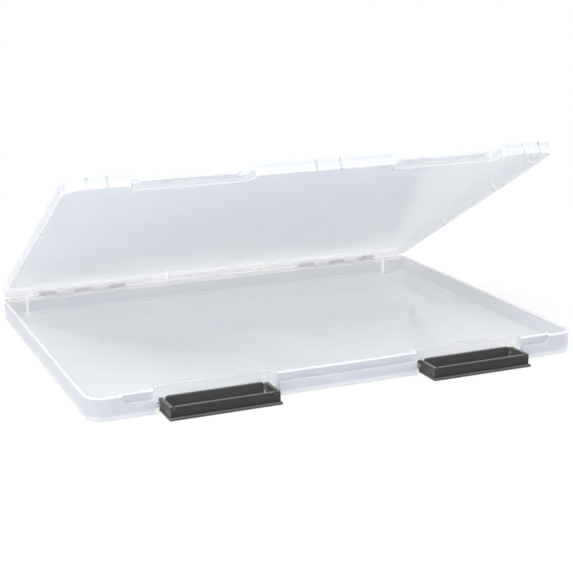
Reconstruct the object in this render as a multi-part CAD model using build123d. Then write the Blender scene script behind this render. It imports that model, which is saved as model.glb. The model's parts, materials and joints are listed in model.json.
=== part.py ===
from build123d import *
import os

# A slim storage box for A4 sheets: a tray, a hinged lid and two swing latches.
# Sizes are millimetres. +X runs along the long sides, +Y points to the hinge
# and +Z is up. The origin is the middle of the tray's flat underside.
# The box stands as it is used: lid partly open, both latches swung down.

# Overall size
LENGTH = 322.0
DEPTH = 240.0
PARTING_HEIGHT = 14.5
CLOSED_HEIGHT = 22.4
WALL = 1.6
RIM_GAP = 0.2
OPEN_ANGLE = 28.0

# Outline shared by the tray and the lid
FRONT_CORNER_RADIUS = 11.0
BACK_CORNER_RADIUS = 6.0
BOTTOM_EDGE_RADIUS = 2.0
TOP_EDGE_RADIUS = 1.2
INNER_EDGE_RADIUS = 0.8

# Notches in the front walls that the latches fold into
LATCH_CENTERS = (-84.0, 84.0)
NOTCH_MOUTH_WIDTH = 78.0
NOTCH_BACK_WIDTH = 71.0
NOTCH_CORNER_RADIUS = 2.5
TRAY_NOTCH_DEPTH = 10.0
LID_NOTCH_DEPTH = 11.0

# Set-back band along the top of the tray's front wall
LEDGE_LENGTH = 282.0
LEDGE_HEIGHT = 9.0
LEDGE_DEPTH = 2.4
LEDGE_END_RADIUS = 4.5

# Catch lip on the lid's wall in each notch, a little below the lid's top
CATCH_TOP = 21.2
CATCH_REACH = 2.8
CATCH_THICKNESS = 1.8
CATCH_LENGTH = 60.0

# Stiffening ribs inside the walls
RIB_THICKNESS = 1.4
RIB_DEPTH = 1.5
LID_RIB_START = 2.2
TRAY_RIB_STOP = 0.8
LID_FRONT_RIBS = (-148.0, -136.0, -8.0, 8.0, 136.0, 148.0)
LID_BACK_RIBS = (-126.0, -37.0, 37.0, 126.0)
LID_SIDE_RIBS = (-38.0, 40.0)
TRAY_BACK_RIBS = (-143.5, 143.5)

# Snap hinge: clips on the tray hold one pin in each of two zones
HINGE_CENTERS = (-102.5, 102.5)
PIN_RADIUS = 1.2
PIN_CLEARANCE = 0.05
KNUCKLE_RADIUS = 2.1
KNUCKLE_CLEARANCE = 0.4
CLIP_PITCH = 26.0
CLIP_LENGTH = 12.0
CLIP_MOUTH = 1.9
CLIP_MOUTH_ANGLE = 45.0
LUG_LENGTH = CLIP_PITCH - CLIP_LENGTH - 2 * KNUCKLE_CLEARANCE
PIN_LENGTH = 2 * CLIP_PITCH + CLIP_LENGTH - KNUCKLE_CLEARANCE

# Housing: a half-round swelling inside the back walls that roofs each hinge zone
HOUSING_SKIN = 0.7
HOUSING_END = 3.0
HOUSING_END_TAPER = 2.0
HOUSING_RADIUS = KNUCKLE_RADIUS + KNUCKLE_CLEARANCE + HOUSING_SKIN
HOUSING_LENGTH = 2 * (CLIP_PITCH + HOUSING_END) + CLIP_LENGTH

# Latch
LATCH_LENGTH = 67.0
LATCH_WALL = 1.6
LATCH_UNDERSIDE = 0.3
LATCH_CHEEK = 1.8
LATCH_TOP = 8.1
LATCH_BOSS_RADIUS = 3.1
LATCH_GAP = 0.4
LATCH_EDGE_RADIUS = 0.5
PIVOT_HEIGHT = 4.6
PIVOT_SETBACK = 4.2
PIVOT_PIN_RADIUS = 1.5
PIVOT_CLEARANCE = 0.06
FLANGE_INSET = 3.2
FLANGE_THICKNESS = 1.2
FLANGE_TOP = 8.4
FLANGE_CORNER_RADIUS = 1.5
BASE_THICKNESS = 1.2
BASE_FRONT_REACH = 1.8
BASE_END_REACH = 0.7
RELIEF_WIDTH = 1.3
RELIEF_DEPTH = 1.8

# Places worked out from the sizes above
CUT_MARGIN = 2.0
FRONT_Y = -DEPTH / 2
BACK_Y = DEPTH / 2
TRAY_HEIGHT = PARTING_HEIGHT - RIM_GAP / 2
LID_RIM = PARTING_HEIGHT + RIM_GAP / 2
LID_INSIDE_TOP = CLOSED_HEIGHT - WALL
TRAY_NOTCH_Y = FRONT_Y + TRAY_NOTCH_DEPTH
LID_NOTCH_Y = FRONT_Y + LID_NOTCH_DEPTH
HINGE_Y = BACK_Y
HINGE_Z = PARTING_HEIGHT
PIVOT_Y = TRAY_NOTCH_Y - PIVOT_SETBACK
HOOK_REACH = CATCH_TOP + LATCH_GAP - PIVOT_HEIGHT
HOOK_INNER_Y = PIVOT_Y - HOOK_REACH
HOOK_OUTER_Y = HOOK_INNER_Y - LATCH_WALL


def block(x_range, y_range, z_range):
    """A box between the given limits."""
    spans = [limits[1] - limits[0] for limits in (x_range, y_range, z_range)]
    middle = [sum(limits) / 2 for limits in (x_range, y_range, z_range)]
    return Pos(*middle) * Box(*spans)


def bar(radius, length, x, y, z):
    """A round bar along X, centred at the given place."""
    return Pos(x, y, z) * Rot(0, 90, 0) * Cylinder(radius, length)


def footprint(inset):
    """The plan outline, with wider radii at the front corners than at the back."""
    outline = Rectangle(LENGTH - 2 * inset, DEPTH - 2 * inset)
    front_corners = outline.vertices().group_by(Axis.Y)[0]
    outline = fillet(front_corners, FRONT_CORNER_RADIUS - inset)
    back_corners = outline.vertices().group_by(Axis.Y)[-1]
    return fillet(back_corners, BACK_CORNER_RADIUS - inset)


def notch(center_x, back_y, bottom, top, grow=0.0):
    """The space of one latch notch: a trapezoid in plan that opens to the front."""
    mouth = NOTCH_MOUTH_WIDTH / 2 + grow
    back = NOTCH_BACK_WIDTH / 2 + grow
    mouth_y = FRONT_Y - CUT_MARGIN
    corners = [(-mouth, mouth_y), (mouth, mouth_y), (back, back_y + grow), (-back, back_y + grow)]
    plan = make_face(Polyline(corners, close=True))
    plan = fillet(plan.vertices().group_by(Axis.Y)[-1], NOTCH_CORNER_RADIUS)
    return Pos(center_x, 0, bottom) * extrude(plan, top - bottom)


def ledge(grow=0.0):
    """The set-back band's space, with its lower ends rounded in elevation."""
    bottom = LEDGE_HEIGHT - grow
    top = TRAY_HEIGHT + CUT_MARGIN
    depth = LEDGE_DEPTH + grow
    face = Pos(0, (bottom + top) / 2) * Rectangle(LEDGE_LENGTH + 2 * grow, top - bottom)
    face = fillet(face.vertices().group_by(Axis.Y)[0], LEDGE_END_RADIUS)
    plane = Plane.XZ.offset(DEPTH / 2 - depth)
    return extrude(plane * face, depth + CUT_MARGIN)


def long_wall_ribs(places, face, inward, z_range):
    """Upright ribs on a long wall's inside face; inward is 1 at the front, -1 at the back."""
    half = RIB_THICKNESS / 2
    y_range = sorted((face - inward * WALL / 2, face + inward * RIB_DEPTH))
    return [block((x - half, x + half), y_range, z_range) for x in places]


def short_wall_ribs(places, z_range):
    """Upright ribs on the inside faces of both short walls."""
    half = RIB_THICKNESS / 2
    face = LENGTH / 2 - WALL
    parts = []
    for side in (-1, 1):
        x_range = sorted((side * (face - RIB_DEPTH), side * (face + WALL / 2)))
        parts += [block(x_range, (y - half, y + half), z_range) for y in places]
    return parts


def clip_places(zone):
    """Middles of the tray's clips in one hinge zone."""
    return [zone + step * CLIP_PITCH for step in (-1, 0, 1)]


def lug_places(zone):
    """Middles of the lid's lugs, halfway between the clips."""
    return [zone + step * CLIP_PITCH for step in (-0.5, 0.5)]


def hinge_clip(x):
    """A C-shaped clip that the lid's pin snaps into from behind."""
    clip = bar(KNUCKLE_RADIUS, CLIP_LENGTH, x, HINGE_Y, HINGE_Z)
    clip -= bar(PIN_RADIUS + PIN_CLEARANCE, CLIP_LENGTH + CUT_MARGIN, x, HINGE_Y, HINGE_Z)
    mouth = Pos(0, KNUCKLE_RADIUS, 0) * Box(CLIP_LENGTH + CUT_MARGIN, 2 * KNUCKLE_RADIUS, CLIP_MOUTH)
    return clip - Pos(x, HINGE_Y, HINGE_Z) * Rot(CLIP_MOUTH_ANGLE, 0, 0) * mouth


def hinge_housing(zone, z_range):
    """The part of one zone's swelling between two heights, with tapered ends."""
    swelling = bar(HOUSING_RADIUS, HOUSING_LENGTH, zone, HINGE_Y, HINGE_Z)
    swelling = chamfer(swelling.edges().filter_by(GeomType.CIRCLE), HOUSING_END_TAPER)
    along = (zone - HOUSING_LENGTH / 2, zone + HOUSING_LENGTH / 2)
    return swelling & block(along, (HINGE_Y - HOUSING_RADIUS, BACK_Y - WALL / 2), z_range)


def hinge_pocket(x, length):
    """Round clearance for a clip or a lug of the other half."""
    return bar(KNUCKLE_RADIUS + KNUCKLE_CLEARANCE, length + 2 * KNUCKLE_CLEARANCE, x, HINGE_Y, HINGE_Z)


def latch_pins(center_x):
    """Two round bosses, rooted in the notch's slanted end walls, on which the latch turns."""
    root = (NOTCH_BACK_WIDTH + NOTCH_MOUTH_WIDTH + WALL) / 4
    tip = LATCH_LENGTH / 2 - LATCH_CHEEK
    places = [center_x + side * (root + tip) / 2 for side in (-1, 1)]
    return [bar(PIVOT_PIN_RADIUS, root - tip, x, PIVOT_Y, PIVOT_HEIGHT) for x in places]


def make_tray():
    """The lower half: floor, walls, notches, ledge, ribs, hinge clips and latch bosses."""
    outer = extrude(footprint(0), TRAY_HEIGHT)
    outer = fillet(outer.edges().group_by(Axis.Z)[0], BOTTOM_EDGE_RADIUS)
    cavity = Pos(0, 0, WALL) * extrude(footprint(WALL), TRAY_HEIGHT)
    cavity = fillet(cavity.edges().group_by(Axis.Z)[0], INNER_EDGE_RADIUS)
    above = TRAY_HEIGHT + WALL + CUT_MARGIN
    for x in LATCH_CENTERS:
        outer -= notch(x, TRAY_NOTCH_Y, -CUT_MARGIN, above)
        cavity -= notch(x, TRAY_NOTCH_Y, -CUT_MARGIN, above, WALL)
    tray = (outer - ledge()) - (cavity - ledge(WALL))
    for rib in long_wall_ribs(TRAY_BACK_RIBS, BACK_Y - WALL, -1, (WALL / 2, TRAY_HEIGHT - TRAY_RIB_STOP)):
        tray += rib
    for zone in HINGE_CENTERS:
        tray += hinge_housing(zone, (HINGE_Z - HOUSING_RADIUS, TRAY_HEIGHT))
        for x in lug_places(zone):
            tray -= hinge_pocket(x, LUG_LENGTH)
        for x in clip_places(zone):
            tray -= bar(PIN_RADIUS + PIN_CLEARANCE, CLIP_LENGTH, x, HINGE_Y, HINGE_Z)
            tray += hinge_clip(x)
    for x in LATCH_CENTERS:
        for pin in latch_pins(x):
            tray += pin
    return tray


def make_lid():
    """The upper half, built closed and then turned open about the hinge."""
    outer = Pos(0, 0, LID_RIM) * extrude(footprint(0), CLOSED_HEIGHT - LID_RIM)
    outer = fillet(outer.edges().group_by(Axis.Z)[-1], TOP_EDGE_RADIUS)
    below = LID_RIM - CUT_MARGIN
    above = CLOSED_HEIGHT + CUT_MARGIN
    cavity = Pos(0, 0, below) * extrude(footprint(WALL), LID_INSIDE_TOP - below)
    cavity = fillet(cavity.edges().group_by(Axis.Z)[-1], INNER_EDGE_RADIUS)
    for x in LATCH_CENTERS:
        outer -= notch(x, LID_NOTCH_Y, below, above)
        cavity -= notch(x, LID_NOTCH_Y, below, above, WALL)
    lid = outer - cavity
    for x in LATCH_CENTERS:
        along = (x - CATCH_LENGTH / 2, x + CATCH_LENGTH / 2)
        across = (LID_NOTCH_Y - CATCH_REACH, LID_NOTCH_Y + WALL / 2)
        lid += block(along, across, (CATCH_TOP - CATCH_THICKNESS, CATCH_TOP))
    heights = (LID_RIM + LID_RIB_START, LID_INSIDE_TOP + WALL / 2)
    lid_ribs = long_wall_ribs(LID_FRONT_RIBS, FRONT_Y + WALL, 1, heights)
    lid_ribs += long_wall_ribs(LID_BACK_RIBS, BACK_Y - WALL, -1, heights)
    lid_ribs += short_wall_ribs(LID_SIDE_RIBS, heights)
    for rib in lid_ribs:
        lid += rib
    for zone in HINGE_CENTERS:
        lid += hinge_housing(zone, (LID_RIM, HINGE_Z + HOUSING_RADIUS))
        for x in clip_places(zone):
            lid -= hinge_pocket(x, CLIP_LENGTH)
        for x in lug_places(zone):
            lid += bar(KNUCKLE_RADIUS, LUG_LENGTH, x, HINGE_Y, HINGE_Z)
        lid += bar(PIN_RADIUS, PIN_LENGTH, zone, HINGE_Y, HINGE_Z)
    return lid.rotate(Axis((0, HINGE_Y, HINGE_Z), (-1, 0, 0)), OPEN_ANGLE)


def latch_cheek(x):
    """An end wall: a round boss at the pivot, drawn out to the hook's full height."""
    boss = Pos(PIVOT_Y, PIVOT_HEIGHT) * Circle(LATCH_BOSS_RADIUS)
    hook_middle = ((HOOK_OUTER_Y + HOOK_INNER_Y) / 2, (LATCH_UNDERSIDE + LATCH_TOP) / 2)
    hook_end = Pos(*hook_middle) * Rectangle(LATCH_WALL, LATCH_TOP - LATCH_UNDERSIDE)
    profile = make_hull(boss.edges() + hook_end.edges())
    profile -= Pos(PIVOT_Y, PIVOT_HEIGHT) * Circle(PIVOT_PIN_RADIUS + PIVOT_CLEARANCE)
    plane = Plane(origin=(x - LATCH_CHEEK / 2, 0, 0), x_dir=(0, 1, 0), z_dir=(1, 0, 0))
    return extrude(plane * profile, LATCH_CHEEK)


def make_latch(center_x):
    """A trough on a wider base, lying open on the table, that folds up to hook over the lid."""
    ends = (center_x - LATCH_LENGTH / 2, center_x + LATCH_LENGTH / 2)
    hook = block(ends, (HOOK_OUTER_Y, HOOK_INNER_Y), (LATCH_UNDERSIDE, LATCH_TOP))
    hook = fillet(hook.edges().filter_by(Axis.X).group_by(Axis.Z)[-1], LATCH_EDGE_RADIUS)
    across = (HOOK_OUTER_Y - CUT_MARGIN, HOOK_INNER_Y + CUT_MARGIN)
    heights = (LATCH_TOP - RELIEF_DEPTH, LATCH_TOP + CUT_MARGIN)
    for start in (ends[0] + LATCH_CHEEK, ends[1] - LATCH_CHEEK - RELIEF_WIDTH):
        hook -= block((start, start + RELIEF_WIDTH), across, heights)
    base_ends = (ends[0] - BASE_END_REACH, ends[1] + BASE_END_REACH)
    base_y = (HOOK_OUTER_Y - BASE_FRONT_REACH, PIVOT_Y)
    latch = hook + block(base_ends, base_y, (LATCH_UNDERSIDE, LATCH_UNDERSIDE + BASE_THICKNESS))
    flange_ends = (ends[0] + FLANGE_INSET, ends[1] - FLANGE_INSET)
    flange_y = (PIVOT_Y - FLANGE_THICKNESS / 2, PIVOT_Y + FLANGE_THICKNESS / 2)
    flange = block(flange_ends, flange_y, (LATCH_UNDERSIDE, FLANGE_TOP))
    latch += fillet(flange.edges().filter_by(Axis.Y).group_by(Axis.Z)[-1], FLANGE_CORNER_RADIUS)
    for x in (ends[0] + LATCH_CHEEK / 2, ends[1] - LATCH_CHEEK / 2):
        latch += latch_cheek(x)
    return latch


def main():
    """Build every piece and write one STEP file for each."""
    pieces = {
        "base_tray": make_tray(),
        "lid": make_lid(),
        "left_latch": make_latch(LATCH_CENTERS[0]),
        "right_latch": make_latch(LATCH_CENTERS[1]),
    }
    os.makedirs("parts", exist_ok=True)
    for name, piece in pieces.items():
        piece.label = name
        export_step(piece, f"parts/{name}.step")


if __name__ == "__main__":
    main()
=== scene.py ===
import json
import math

import bpy
from bpy.props import FloatProperty, FloatVectorProperty, PointerProperty
from mathutils import Matrix, Vector

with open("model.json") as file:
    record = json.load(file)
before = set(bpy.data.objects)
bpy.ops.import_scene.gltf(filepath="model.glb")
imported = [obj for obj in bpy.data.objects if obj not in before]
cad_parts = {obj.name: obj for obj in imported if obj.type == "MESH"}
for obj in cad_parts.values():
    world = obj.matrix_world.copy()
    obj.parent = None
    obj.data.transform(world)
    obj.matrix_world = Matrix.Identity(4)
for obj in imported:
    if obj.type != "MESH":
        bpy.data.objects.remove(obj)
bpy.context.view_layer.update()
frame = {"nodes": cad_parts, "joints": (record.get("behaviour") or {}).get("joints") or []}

bl_info = {
    "name": "File Storage Box Finish",
    "version": (1, 0, 0),
    "blender": (4, 5, 0),
    "location": "View3D > Sidebar > File Box",
    "description": "Dresses a translucent file storage box and sets its studio",
    "category": "Object",
}

MILLIMETRE = 0.001

# Places of the moulded forms that the clear finish and its painted light follow, in the closed box
WALL = 1.6 * MILLIMETRE
FLOOR_HEIGHT = 0.8 * MILLIMETRE
LID_PLATE_HEIGHT = 21.6 * MILLIMETRE
FRONT_Y = -120.0 * MILLIMETRE
BACK_Y = 120.0 * MILLIMETRE
SIDE_X = 161.0 * MILLIMETRE
NOTCH_X = 84.0 * MILLIMETRE
NOTCH_HALF_WIDTH = 37.5 * MILLIMETRE
NOTCH_BACK_Y = -108.0 * MILLIMETRE
HOUSING_RADIUS = 3.3 * MILLIMETRE
HOUSING_FADE = 3.9 * MILLIMETRE
RIB_HALF_WIDTH = 0.7 * MILLIMETRE
LID_FRONT_RIBS = (8.0 * MILLIMETRE, 136.0 * MILLIMETRE, 148.0 * MILLIMETRE)
LID_BACK_RIBS = (37.0 * MILLIMETRE, 126.0 * MILLIMETRE)
LID_SIDE_RIBS = (-38.0 * MILLIMETRE, 40.0 * MILLIMETRE)
TRAY_BACK_RIBS = (143.5 * MILLIMETRE,)

# Places on a lowered latch where the black finish changes to painted shade, painted light or
# painted highlight, and how far a tone fades
LATCH_TOP_START = 7.5 * MILLIMETRE
LATCH_BASE_TOP = 1.5 * MILLIMETRE
LATCH_BASE_MIDDLE = 0.7 * MILLIMETRE
LATCH_WALL_Y = -132.8 * MILLIMETRE
LATCH_WALL_SKIN = 0.1 * MILLIMETRE
LATCH_WALL_MIDDLE_Y = -131.8 * MILLIMETRE
LATCH_INNER_HALF_LENGTH = 31.6 * MILLIMETRE
LATCH_FADE = 0.4 * MILLIMETRE

# The hinge, read from the frame
HINGE = next(joint for joint in frame["joints"] if joint["name"] == "lid_hinge")
HINGE_PLACE = Vector(HINGE["pos_m"])
OPEN_ANGLE = -math.radians(HINGE["range_deg"][0])

# Optical constants of both plastics and of the clear one's polished skin
PLASTIC_IOR = 1.49
LATCH_SPECULAR = 0.4
COAT_ROUGHNESS = 0.03
COAT_IOR = 1.6

# Moulded grain: heights of the fine grain and the slow waviness, and their depth
GRAIN_HEIGHT = 0.35
WAVE_HEIGHT = 2.0
WAVE_SCALE = 0.6
CLEAR_BUMP_DEPTH = 0.1 * MILLIMETRE
CLEAR_ROUGHNESS_SPREAD = 0.08
LATCH_GRAIN_SCALE = 1.6
LATCH_WEAR_SCALE = 4.0
LATCH_BUMP_STRENGTH = 0.25
LATCH_BUMP_DEPTH = 0.05 * MILLIMETRE
LATCH_ROUGHNESS_SPREAD = 0.12

# Painted edge highlights: how far a face turns from its rounded self, and how light each kind gets
EDGE_SAMPLES = 6
EDGE_TURN_START = 0.02
EDGE_TURN_FULL = 0.16
TOP_HIGHLIGHT_SHARE = 0.8
EDGE_HIGHLIGHT_LEAST = 0.6
EDGE_HIGHLIGHT_SPREAD = 0.4

# Clear surfaces that a view ray may cross, enough for the hinge's stacked walls
CLEAR_LAYERS = 24

# Picture frame that the camera is set for
PICTURE_PIXELS = 573
SENSOR_MM = 36.0

# The soft lamp's size and place in metres, and where the floor's shadow starts to fade
LAMP_WIDTH = 1.4
LAMP_DEPTH = 1.0
LAMP_PLACE = (-0.7, -0.5, 1.3)
SHADOW_FADE_START = 0.4

# Sockets of a Mix node that is set to colours
MIX_FACTOR, MIX_FIRST, MIX_SECOND, MIX_RESULT = 0, 6, 7, 2


class Socket:
    """A shader value that ordinary arithmetic turns into Math nodes."""

    def __init__(self, shader, link):
        self.shader = shader
        self.link = link

    def _math(self, operation, first, second=None):
        values = {0: first}
        if second is not None:
            values[1] = second
        return self.shader.add("ShaderNodeMath", {"operation": operation}, values)

    def __add__(self, other):
        return self._math("ADD", self, other)

    def __radd__(self, other):
        return self._math("ADD", other, self)

    def __sub__(self, other):
        return self._math("SUBTRACT", self, other)

    def __rsub__(self, other):
        return self._math("SUBTRACT", other, self)

    def __mul__(self, other):
        return self._math("MULTIPLY", self, other)

    def __abs__(self):
        return self._math("ABSOLUTE", self)

    def maximum(self, other):
        return self._math("MAXIMUM", self, other)

    def toward(self, value, share):
        """This value drawn towards another one by a share from 0 to 1."""
        return self + share * (value - self)


class Shader:
    """One node tree, with a single method that adds any node."""

    def __init__(self, owner):
        owner.use_nodes = True
        self.tree = owner.node_tree
        self.tree.nodes.clear()

    def feed(self, socket, value):
        if isinstance(value, Socket):
            self.tree.links.new(value.link, socket)
        else:
            socket.default_value = value

    def node(self, kind, settings=None, inputs=None):
        made = self.tree.nodes.new(kind)
        for name, value in (settings or {}).items():
            setattr(made, name, value)
        for name, value in (inputs or {}).items():
            self.feed(made.inputs[name], value)
        return made

    def add(self, kind, settings=None, inputs=None, output=0):
        return Socket(self, self.node(kind, settings, inputs).outputs[output])

    def mix_colour(self, factor, first, second):
        inputs = {MIX_FACTOR: factor, MIX_FIRST: first, MIX_SECOND: second}
        return self.add("ShaderNodeMix", {"data_type": "RGBA"}, inputs, MIX_RESULT)

    def place(self):
        """The object's own coordinates, whole and split into X, Y and Z."""
        whole = self.add("ShaderNodeTexCoord", None, None, "Object")
        split = self.node("ShaderNodeSeparateXYZ", None, {"Vector": whole})
        return whole, *(Socket(self, split.outputs[name]) for name in "XYZ")

    def bump(self, height, strength, depth):
        inputs = {"Height": height, "Strength": strength, "Distance": depth}
        return self.add("ShaderNodeBump", None, inputs, "Normal")

    def finish_surface(self, inputs):
        """Ends a material's tree with one Principled surface."""
        surface = self.add("ShaderNodeBsdfPrincipled", None, inputs)
        self.node("ShaderNodeOutputMaterial", None, {"Surface": surface})


def rgba(colour):
    """A property's colour with full opacity."""
    return (*colour, 1.0)


def noise(shader, coordinates, scale, detail=3.0, roughness=0.5):
    """Even cloudy noise from 0 to 1 at a scale given in cells per metre."""
    inputs = {"Vector": coordinates, "Scale": scale, "Detail": detail, "Roughness": roughness}
    return shader.add("ShaderNodeTexNoise", None, inputs, "Fac")


def step(shader, value, start, end):
    """A smooth rise from 0 to 1 as a value goes from start to end."""
    settings = {"interpolation_type": "SMOOTHSTEP"}
    inputs = {"Value": value, "From Min": start, "From Max": end}
    return shader.add("ShaderNodeMapRange", settings, inputs)


def near(shader, value, place, inside, outside):
    """1 within one distance of a place, falling to 0 at another."""
    return 1 - step(shader, abs(value - place), inside, outside)


def closed_place(across, up):
    """Where a point of the opened lid is in the closed box, across and up."""
    back = across - HINGE_PLACE.y
    rise = up - HINGE_PLACE.z
    closed_back = back * math.cos(OPEN_ANGLE) - rise * math.sin(OPEN_ANGLE) + HINGE_PLACE.y
    closed_up = back * math.sin(OPEN_ANGLE) + rise * math.cos(OPEN_ANGLE) + HINGE_PLACE.z
    return closed_back, closed_up


def bars(shader, value, places):
    """1 within a rib's half width of any of the places."""
    bands = [near(shader, value, place, RIB_HALF_WIDTH, 2 * RIB_HALF_WIDTH) for place in places]
    total = bands[0]
    for band in bands[1:]:
        total = total.maximum(band)
    return total


# Mask for painted light: whiter bars on the ribs, standing in for the light that shines through
# them
def rib_glow(shader, along, across, turned):
    """1 on the upright ribs and where one stands behind its wall."""
    mirrored = abs(along)
    at_back = step(shader, across, BACK_Y - 3 * WALL, BACK_Y - 2 * WALL)
    if not turned:
        return bars(shader, mirrored, TRAY_BACK_RIBS) * at_back
    at_front = 1 - step(shader, across, FRONT_Y + 2 * WALL, FRONT_Y + 3 * WALL)
    at_side = step(shader, mirrored, SIDE_X - 3 * WALL, SIDE_X - 2 * WALL)
    glow = bars(shader, mirrored, LID_FRONT_RIBS) * at_front
    glow = glow.maximum(bars(shader, mirrored, LID_BACK_RIBS) * at_back)
    return glow.maximum(bars(shader, across, LID_SIDE_RIBS) * at_side)


# Mask for painted light that lifts the shade in the hinge's housings and knuckles
def hinge_glow(shader, across, up):
    """1 on the housings and the knuckles round the hinge's axis."""
    back = across - HINGE_PLACE.y
    rise = up - HINGE_PLACE.z
    return 1 - step(shader, back * back + rise * rise, HOUSING_RADIUS ** 2, HOUSING_FADE ** 2)


# Mask for painted light that lifts the shade on the notch walls behind the latches
def notch_glow(shader, along, across):
    """1 on the walls of the two notches that the latches fold into."""
    beside = near(shader, abs(along), NOTCH_X, NOTCH_HALF_WIDTH, NOTCH_HALF_WIDTH + WALL)
    behind = step(shader, across, FRONT_Y + WALL, FRONT_Y + 2 * WALL)
    before = 1 - step(shader, across, NOTCH_BACK_Y + 0.5 * WALL, NOTCH_BACK_Y + WALL)
    return beside * behind * before


def clear_density(shader, finish, along, across, turned, clouds, marks):
    """Opacity of the clear plastic: thinner in far walls and ribs, denser along rims."""
    density = finish.density + (clouds - 0.5) * finish.cloud_contrast
    if turned:
        density = density - across * (finish.density_slope / (BACK_Y - FRONT_Y))
    at_back = step(shader, across, BACK_Y - 2.5 * WALL, BACK_Y - 1.5 * WALL)
    at_side = step(shader, abs(along), SIDE_X - 1.5 * WALL, SIDE_X - WALL)
    density = density + at_back * (finish.back_density - finish.density)
    density = density.toward(finish.side_density, at_side)
    density = density.toward(finish.notch_density, marks["notch"])
    density = density + marks["rim"] * (finish.rim_density - finish.density)
    density = density.toward(finish.hinge_density, marks["hinge"])
    return density.toward(finish.rib_density, marks["rib"])


def polypropylene(name, finish, turned):
    """Milky glossy plastic, a little cloudy in its depth. Painted light makes the lid's walls
    lighter and painted shade makes the tray's walls darker; painted highlights and painted light
    make ribs, rims, hinge housings and notch walls whiter.
    """
    material = bpy.data.materials.new(name)
    shader = Shader(material)
    place, along, across, up = shader.place()
    if turned:
        across, up = closed_place(across, up)
    plate_place = LID_PLATE_HEIGHT if turned else FLOOR_HEIGHT
    # Wall tones painted for how light falls: painted light on the lid's walls, painted shade on
    # the tray's walls
    wall_painted_tone = finish.lid_wall_painted_light if turned else finish.tray_wall_painted_shade
    rim_highlight_share = finish.lid_rim_highlight_share if turned else 1.0
    off_plate = step(shader, abs(up - plate_place), WALL, 2 * WALL)
    at_wall = off_plate
    if turned:
        at_wall = at_wall * (1 - near(shader, abs(along), SIDE_X - WALL, 0.25 * WALL, 0.5 * WALL))
    # Painted highlight in a band along the rims at the parting line
    rim_highlight = near(shader, up, HINGE_PLACE.z, finish.rim_highlight_width * 0.5, finish.rim_highlight_width)
    marks = {
        "rim": rim_highlight * rim_highlight_share,
        "rib": rib_glow(shader, along, across, turned),
        "hinge": hinge_glow(shader, across, up),
        "notch": notch_glow(shader, along, across) * off_plate,
    }
    # Painted light: rims, ribs, hinge housings and notch walls get the whiter painted light colour
    painted_light = marks["rim"].maximum(marks["rib"]).maximum(marks["hinge"]).maximum(marks["notch"])
    clouds = noise(shader, place, finish.cloud_scale, detail=4.0)
    colour = shader.mix_colour(clouds, rgba(finish.plastic_shade), rgba(finish.plastic_colour))
    colour = shader.mix_colour(at_wall, colour, rgba(wall_painted_tone))
    colour = shader.mix_colour(painted_light, colour, rgba(finish.painted_light_colour))
    grain = noise(shader, place, finish.grain_scale, detail=2.0)
    waves = noise(shader, place, finish.cloud_scale * WAVE_SCALE, detail=1.0)
    height = grain * GRAIN_HEIGHT + waves * WAVE_HEIGHT
    shader.finish_surface({
        "Base Color": colour,
        "Roughness": finish.plastic_roughness + (grain - 0.5) * CLEAR_ROUGHNESS_SPREAD,
        "IOR": PLASTIC_IOR,
        "Alpha": clear_density(shader, finish, along, across, turned, clouds, marks),
        "Normal": shader.bump(height, finish.grain_strength, CLEAR_BUMP_DEPTH),
        "Subsurface Weight": finish.scatter_weight,
        "Subsurface Radius": (1.0, 1.0, 1.0),
        "Subsurface Scale": finish.scatter_depth,
        "Coat Weight": finish.gloss,
        "Coat Roughness": COAT_ROUGHNESS,
        "Coat IOR": COAT_IOR,
    })
    return material


# Mask for the painted edge highlights of the black plastic
def edge_glint(shader, radius):
    """1 along convex and concave edges, fading to 0 a short way off them."""
    rounded = shader.add("ShaderNodeBevel", {"samples": EDGE_SAMPLES}, {"Radius": radius})
    flat = shader.add("ShaderNodeNewGeometry", None, None, "Normal")
    settings = {"operation": "DOT_PRODUCT"}
    alike = shader.add("ShaderNodeVectorMath", settings, {0: rounded, 1: flat}, "Value")
    return step(shader, 1 - alike, EDGE_TURN_START, EDGE_TURN_FULL)


def latch_zones(shader, along, across, up):
    """1 on a latch's outer wall, inside its trough, along its top, and on its base's lip, where
    painted shade, painted light and painted highlights go.
    """

    def past(value, start, fade=LATCH_FADE):
        return step(shader, value, start, start + fade)

    outer_wall = 1 - past(across, LATCH_WALL_Y + LATCH_WALL_SKIN)
    outside = outer_wall * past(up, LATCH_BASE_TOP, 0.5 * LATCH_FADE)
    between_ends = 1 - past(abs(abs(along) - NOTCH_X), LATCH_INNER_HALF_LENGTH)
    inside = past(across, LATCH_WALL_MIDDLE_Y) * past(up, LATCH_BASE_MIDDLE) * between_ends
    top = past(up, LATCH_TOP_START)
    before_wall = 1 - past(across, LATCH_WALL_Y - LATCH_FADE)
    lip = before_wall * past(up, LATCH_BASE_TOP - 0.75 * LATCH_FADE, 0.75 * LATCH_FADE)
    return outside, inside, top, lip


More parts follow.
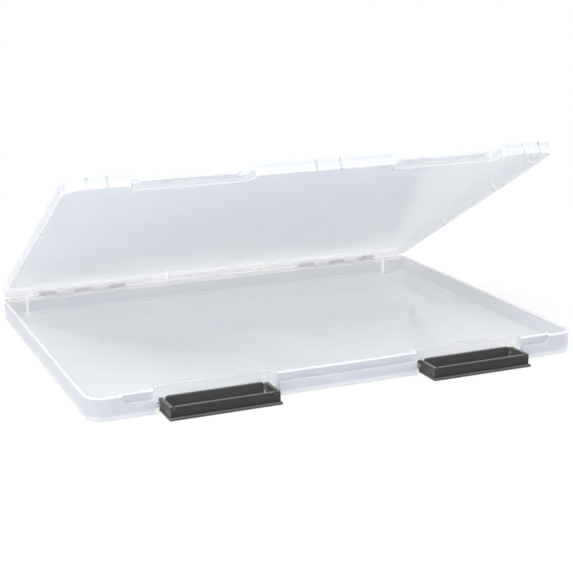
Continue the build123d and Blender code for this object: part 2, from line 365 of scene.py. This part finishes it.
def black_plastic(name, finish):
    """Charcoal moulded plastic with a fine satin grain and random wear tones, with painted shade
    on its outer wall, painted light in its trough and painted highlights along its edges, top and
    lip.
    """
    material = bpy.data.materials.new(name)
    shader = Shader(material)
    place, along, across, up = shader.place()
    outside, inside, top, lip = latch_zones(shader, along, across, up)
    grain = noise(shader, place, finish.grain_scale * LATCH_GRAIN_SCALE, roughness=0.6)
    wear = noise(shader, place, finish.cloud_scale * LATCH_WEAR_SCALE, detail=4.0)
    # Painted highlights along the edges, the top and the lip, their strength varied by the wear
    # noise
    edge = edge_glint(shader, finish.latch_highlight_width).maximum(top * TOP_HIGHLIGHT_SHARE).maximum(lip)
    edge = edge * (wear * EDGE_HIGHLIGHT_SPREAD + EDGE_HIGHLIGHT_LEAST)
    colour = shader.mix_colour(wear, rgba(finish.latch_colour), rgba(finish.latch_worn_colour))
    # Painted shade on the outer wall and painted light inside the trough, for how light falls on
    # them
    colour = shader.mix_colour(outside, colour, rgba(finish.latch_outer_painted_shade))
    colour = shader.mix_colour(inside, colour, rgba(finish.latch_inner_painted_light))
    colour = shader.mix_colour(edge, colour, rgba(finish.latch_highlight_colour))
    shader.finish_surface({
        "Base Color": colour,
        "Roughness": finish.latch_roughness + (grain - 0.5) * LATCH_ROUGHNESS_SPREAD,
        "IOR": PLASTIC_IOR,
        "Specular IOR Level": LATCH_SPECULAR,
        "Normal": shader.bump(grain, LATCH_BUMP_STRENGTH, LATCH_BUMP_DEPTH),
    })
    return material


def seen_directly(shader):
    """1 for rays from the camera, and for what mirrors and clear plastic show."""
    path = shader.node("ShaderNodeLightPath")
    camera, glossy, transmission = (
        Socket(shader, path.outputs[name])
        for name in ("Is Camera Ray", "Is Glossy Ray", "Is Transmission Ray"))
    return camera.maximum(glossy).maximum(transmission)


def dress(node, material):
    """Gives a CAD node its material."""
    piece = frame["nodes"][node]
    piece.data.materials.clear()
    piece.data.materials.append(material)


class BoxFinish(bpy.types.PropertyGroup):
    """Colours and surface sizes of the box."""

    plastic_colour: FloatVectorProperty(
        name="Plastic", description="Pale tone of the clear plastic",
        subtype="COLOR", size=3, min=0.0, max=1.0, default=(0.76, 0.79, 0.835))
    plastic_shade: FloatVectorProperty(
        name="Plastic shade", description="Darker tone in the plastic's clouds",
        subtype="COLOR", size=3, min=0.0, max=1.0, default=(0.735, 0.765, 0.81))
    # Wall tones: painted light on the lid's walls, painted shade on the tray's walls
    lid_wall_painted_light: FloatVectorProperty(
        name="Lid walls", description="Tone of the lid's walls",
        subtype="COLOR", size=3, min=0.0, max=1.0, default=(0.83, 0.835, 0.885))
    tray_wall_painted_shade: FloatVectorProperty(
        name="Tray walls", description="Tone of the tray's walls",
        subtype="COLOR", size=3, min=0.0, max=1.0, default=(0.63, 0.645, 0.7))
    # Whiter painted light for the rim highlight, the ribs, the hinge housings and the notch walls
    painted_light_colour: FloatVectorProperty(
        name="Rim", description="Tone of the light-catching rims",
        subtype="COLOR", size=3, min=0.0, max=1.0, default=(0.9, 0.9, 0.93))
    density: FloatProperty(
        name="Density", description="How much one wall hides what is behind it",
        min=0.0, max=1.0, default=0.58)
    density_slope: FloatProperty(
        name="Density slope", description="How much denser the lid is at its front than its hinge",
        min=0.0, max=1.0, default=0.32)
    back_density: FloatProperty(
        name="Back density", description="Opacity of the thin back walls",
        min=0.0, max=1.0, default=0.44)
    side_density: FloatProperty(
        name="Side density", description="Opacity of the short walls",
        min=0.0, max=1.0, default=0.4)
    notch_density: FloatProperty(
        name="Notch density", description="Opacity of the walls behind the latches",
        min=0.0, max=1.0, default=0.15)
    hinge_density: FloatProperty(
        name="Hinge density", description="Opacity of the hinge's housings",
        min=0.0, max=1.0, default=0.5)
    rib_density: FloatProperty(
        name="Rib density", description="Opacity of the ribs", min=0.0, max=1.0, default=0.25)
    rim_density: FloatProperty(
        name="Rim density", description="Opacity along the rims", min=0.0, max=1.0, default=0.85)
    # Strength and height of the painted rim highlight
    lid_rim_highlight_share: FloatProperty(
        name="Lid rim", description="How much lighter the lid's rim is than its walls",
        min=0.0, max=1.0, default=0.35)
    rim_highlight_width: FloatProperty(
        name="Rim width", description="Height of the lighter band",
        unit="LENGTH", default=1.4 * MILLIMETRE)
    scatter_weight: FloatProperty(
        name="Scatter", description="Share of the light that spreads inside the walls",
        min=0.0, max=1.0, default=1.0)
    scatter_depth: FloatProperty(
        name="Scatter depth", description="How far light spreads in the plastic",
        unit="LENGTH", default=2.5 * MILLIMETRE)
    cloud_contrast: FloatProperty(
        name="Clouding", description="Variation of the plastic's density",
        min=0.0, max=1.0, default=0.05)
    cloud_scale: FloatProperty(
        name="Cloud scale", description="Clouds per metre", min=1.0, default=18.0)
    grain_scale: FloatProperty(
        name="Grain scale", description="Grain cells per metre", min=1.0, default=1400.0)
    grain_strength: FloatProperty(
        name="Grain strength", description="Depth of the moulded grain",
        min=0.0, max=1.0, default=0.12)
    plastic_roughness: FloatProperty(
        name="Plastic roughness", description="Roughness of the clear plastic",
        min=0.0, max=1.0, default=0.12)
    gloss: FloatProperty(
        name="Gloss", description="Weight of the polished skin", min=0.0, max=1.0, default=0.2)
    latch_colour: FloatVectorProperty(
        name="Latch", description="Tone of the black plastic",
        subtype="COLOR", size=3, min=0.0, max=1.0, default=(0.042, 0.042, 0.043))
    latch_worn_colour: FloatVectorProperty(
        name="Latch wear", description="Tone of the rubbed black plastic",
        subtype="COLOR", size=3, min=0.0, max=1.0, default=(0.056, 0.056, 0.058))
    # Painted shade on the latches' outer wall and painted light inside their trough
    latch_outer_painted_shade: FloatVectorProperty(
        name="Latch front", description="Tone of the polished outer wall of the latches",
        subtype="COLOR", size=3, min=0.0, max=1.0, default=(0.021, 0.021, 0.022))
    latch_inner_painted_light: FloatVectorProperty(
        name="Latch inside", description="Tone of the grained inside of the latches",
        subtype="COLOR", size=3, min=0.0, max=1.0, default=(0.095, 0.095, 0.096))
    # Painted highlight along the latches' edges, top and lip, and its width
    latch_highlight_colour: FloatVectorProperty(
        name="Latch edges", description="Tone of the black plastic's edges",
        subtype="COLOR", size=3, min=0.0, max=1.0, default=(0.17, 0.17, 0.17))
    latch_highlight_width: FloatProperty(
        name="Latch edge width", description="How wide the light edges are",
        unit="LENGTH", default=0.7 * MILLIMETRE)
    latch_roughness: FloatProperty(
        name="Latch roughness", description="Roughness of the black plastic",
        min=0.0, max=1.0, default=0.42)


class BoxStudio(bpy.types.PropertyGroup):
    """Camera, floor and lights."""

    camera_place: FloatVectorProperty(
        name="Camera place", description="Where the camera stands",
        subtype="TRANSLATION", size=3, default=(-0.325, -0.7992, 0.2565))
    camera_yaw: FloatProperty(
        name="Turn", description="Camera's turn to the right of +Y",
        subtype="ANGLE", default=math.radians(22.712))
    camera_pitch: FloatProperty(
        name="Tilt", description="Camera's tilt below the horizon",
        subtype="ANGLE", default=math.radians(14.487))
    camera_roll: FloatProperty(
        name="Roll", description="Camera's roll", subtype="ANGLE", default=math.radians(-0.678))
    focal_pixels: FloatProperty(
        name="Focal length", description="Focal length in pixels of the picture",
        min=1.0, default=1316.3)
    floor_size: FloatProperty(
        name="Floor", description="Width of the floor", unit="LENGTH", default=60.0)
    floor_colour: FloatVectorProperty(
        name="Floor colour", description="Pale floor",
        subtype="COLOR", size=3, min=0.0, max=1.0, default=(0.93, 0.93, 0.93))
    shadow_reach: FloatProperty(
        name="Shadow reach", description="Beyond this distance the floor is plain white",
        unit="LENGTH", default=0.6)
    floor_glow: FloatProperty(
        name="Floor whiteness", description="Share of plain white the camera sees",
        min=0.0, max=1.0, default=0.7)
    room_light: FloatProperty(
        name="Room light", description="Strength of the light from all round",
        min=0.0, default=0.92)
    lamp_power: FloatProperty(
        name="Lamp", description="Power of the soft lamp in watts", min=0.0, default=14.0)


class FILEBOX_OT_dress_tray(bpy.types.Operator):
    """Gives the tray its milky plastic"""

    bl_idname = "filebox.dress_tray"
    bl_label = "Dress Tray"

    def execute(self, context):
        material = polypropylene("tray_polypropylene", context.scene.box_finish, False)
        dress("base_tray", material)
        return {"FINISHED"}


class FILEBOX_OT_dress_lid(bpy.types.Operator):
    """Gives the lid its milky plastic"""

    bl_idname = "filebox.dress_lid"
    bl_label = "Dress Lid"

    def execute(self, context):
        material = polypropylene("lid_polypropylene", context.scene.box_finish, True)
        dress("lid", material)
        return {"FINISHED"}


class FILEBOX_OT_dress_latches(bpy.types.Operator):
    """Gives both latches their black plastic"""

    bl_idname = "filebox.dress_latches"
    bl_label = "Dress Latches"

    def execute(self, context):
        material = black_plastic("latch_black_plastic", context.scene.box_finish)
        for node in ("left_latch", "right_latch"):
            dress(node, material)
        return {"FINISHED"}


class FILEBOX_OT_build_studio(bpy.types.Operator):
    """Adds the camera, the pale floor, the soft lamp and the room light"""

    bl_idname = "filebox.build_studio"
    bl_label = "Build Studio"

    def execute(self, context):
        studio = context.scene.box_studio
        self.add_camera(context.scene, studio)
        self.add_floor(context.scene, studio)
        self.add_lamp(context.scene, studio)
        self.light_room(context.scene, studio)
        context.scene.view_settings.view_transform = "Standard"
        context.scene.cycles.transparent_max_bounces = CLEAR_LAYERS
        return {"FINISHED"}

    def add_camera(self, scene, studio):
        yaw, pitch, roll = studio.camera_yaw, studio.camera_pitch, studio.camera_roll
        level = math.cos(pitch)
        forward = Vector((math.sin(yaw) * level, math.cos(yaw) * level, -math.sin(pitch)))
        level_right = forward.cross(Vector((0, 0, 1))).normalized()
        level_up = level_right.cross(forward)
        right = level_right * math.cos(roll) + level_up * math.sin(roll)
        up = level_up * math.cos(roll) - level_right * math.sin(roll)
        data = bpy.data.cameras.new("studio_camera")
        data.sensor_width = SENSOR_MM
        data.lens = studio.focal_pixels / PICTURE_PIXELS * SENSOR_MM
        camera = bpy.data.objects.new("studio_camera", data)
        turn = Matrix((right, up, -forward)).transposed().to_4x4()
        camera.matrix_world = Matrix.Translation(studio.camera_place) @ turn
        scene.collection.objects.link(camera)
        scene.camera = camera

    def add_floor(self, scene, studio):
        half = studio.floor_size / 2
        mesh = bpy.data.meshes.new("studio_floor")
        corners = [(-half, -half, 0), (half, -half, 0), (half, half, 0), (-half, half, 0)]
        mesh.from_pydata(corners, [], [(0, 1, 2, 3)])
        floor = bpy.data.objects.new("studio_floor", mesh)
        scene.collection.objects.link(floor)
        mesh.materials.append(self.floor_paint(studio))

    def floor_paint(self, studio):
        """Matte near the box, where its shadow falls, and plain white further off."""
        material = bpy.data.materials.new("studio_floor_paint")
        shader = Shader(material)
        matte = shader.add("ShaderNodeBsdfDiffuse", None, {"Color": rgba(studio.floor_colour)})
        painted_light = shader.add("ShaderNodeEmission", None, {"Strength": 1.0})
        place = shader.add("ShaderNodeTexCoord", None, None, "Object")
        distance = shader.add("ShaderNodeVectorMath", {"operation": "LENGTH"}, {0: place}, "Value")
        far = step(shader, distance, studio.shadow_reach * SHADOW_FADE_START, studio.shadow_reach)
        share = seen_directly(shader) * (far * (1.0 - studio.floor_glow) + studio.floor_glow)
        surface = shader.add("ShaderNodeMixShader", None, {0: share, 1: matte, 2: painted_light})
        shader.node("ShaderNodeOutputMaterial", None, {"Surface": surface})
        return material

    def add_lamp(self, scene, studio):
        data = bpy.data.lights.new("soft_lamp", "AREA")
        data.shape = "RECTANGLE"
        data.size = LAMP_WIDTH
        data.size_y = LAMP_DEPTH
        data.energy = studio.lamp_power
        lamp = bpy.data.objects.new("soft_lamp", data)
        lamp.location = LAMP_PLACE
        lamp.rotation_mode = "QUATERNION"
        lamp.rotation_quaternion = (-Vector(LAMP_PLACE)).to_track_quat("-Z", "Y")
        scene.collection.objects.link(lamp)

    def light_room(self, scene, studio):
        world = bpy.data.worlds.new("studio_room")
        scene.world = world
        shader = Shader(world)
        strength = seen_directly(shader) * (1.0 - studio.room_light) + studio.room_light
        inputs = {"Color": (1, 1, 1, 1), "Strength": strength}
        light = shader.add("ShaderNodeBackground", None, inputs)
        shader.node("ShaderNodeOutputWorld", None, {"Surface": light})


class FILEBOX_PT_panel(bpy.types.Panel):
    """Lists the steps and the settings they use"""

    bl_label = "File Box"
    bl_idname = "FILEBOX_PT_panel"
    bl_space_type = "VIEW_3D"
    bl_region_type = "UI"
    bl_category = "File Box"

    def draw(self, context):
        for operator in OPERATORS:
            self.layout.operator(operator.bl_idname)
        for group in (context.scene.box_finish, context.scene.box_studio):
            column = self.layout.column()
            for name in group.__annotations__:
                column.prop(group, name)


OPERATORS = (
    FILEBOX_OT_dress_tray,
    FILEBOX_OT_dress_lid,
    FILEBOX_OT_dress_latches,
    FILEBOX_OT_build_studio,
)
CLASSES = (BoxFinish, BoxStudio, *OPERATORS, FILEBOX_PT_panel)


def register():
    for item in CLASSES:
        bpy.utils.register_class(item)
    bpy.types.Scene.box_finish = PointerProperty(type=BoxFinish)
    bpy.types.Scene.box_studio = PointerProperty(type=BoxStudio)


def unregister():
    del bpy.types.Scene.box_studio
    del bpy.types.Scene.box_finish
    for item in reversed(CLASSES):
        bpy.utils.unregister_class(item)


def main():
    """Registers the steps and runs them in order."""
    register()
    bpy.ops.filebox.dress_tray()
    bpy.ops.filebox.dress_lid()
    bpy.ops.filebox.dress_latches()
    bpy.ops.filebox.build_studio()


if __name__ == "__main__":
    main()
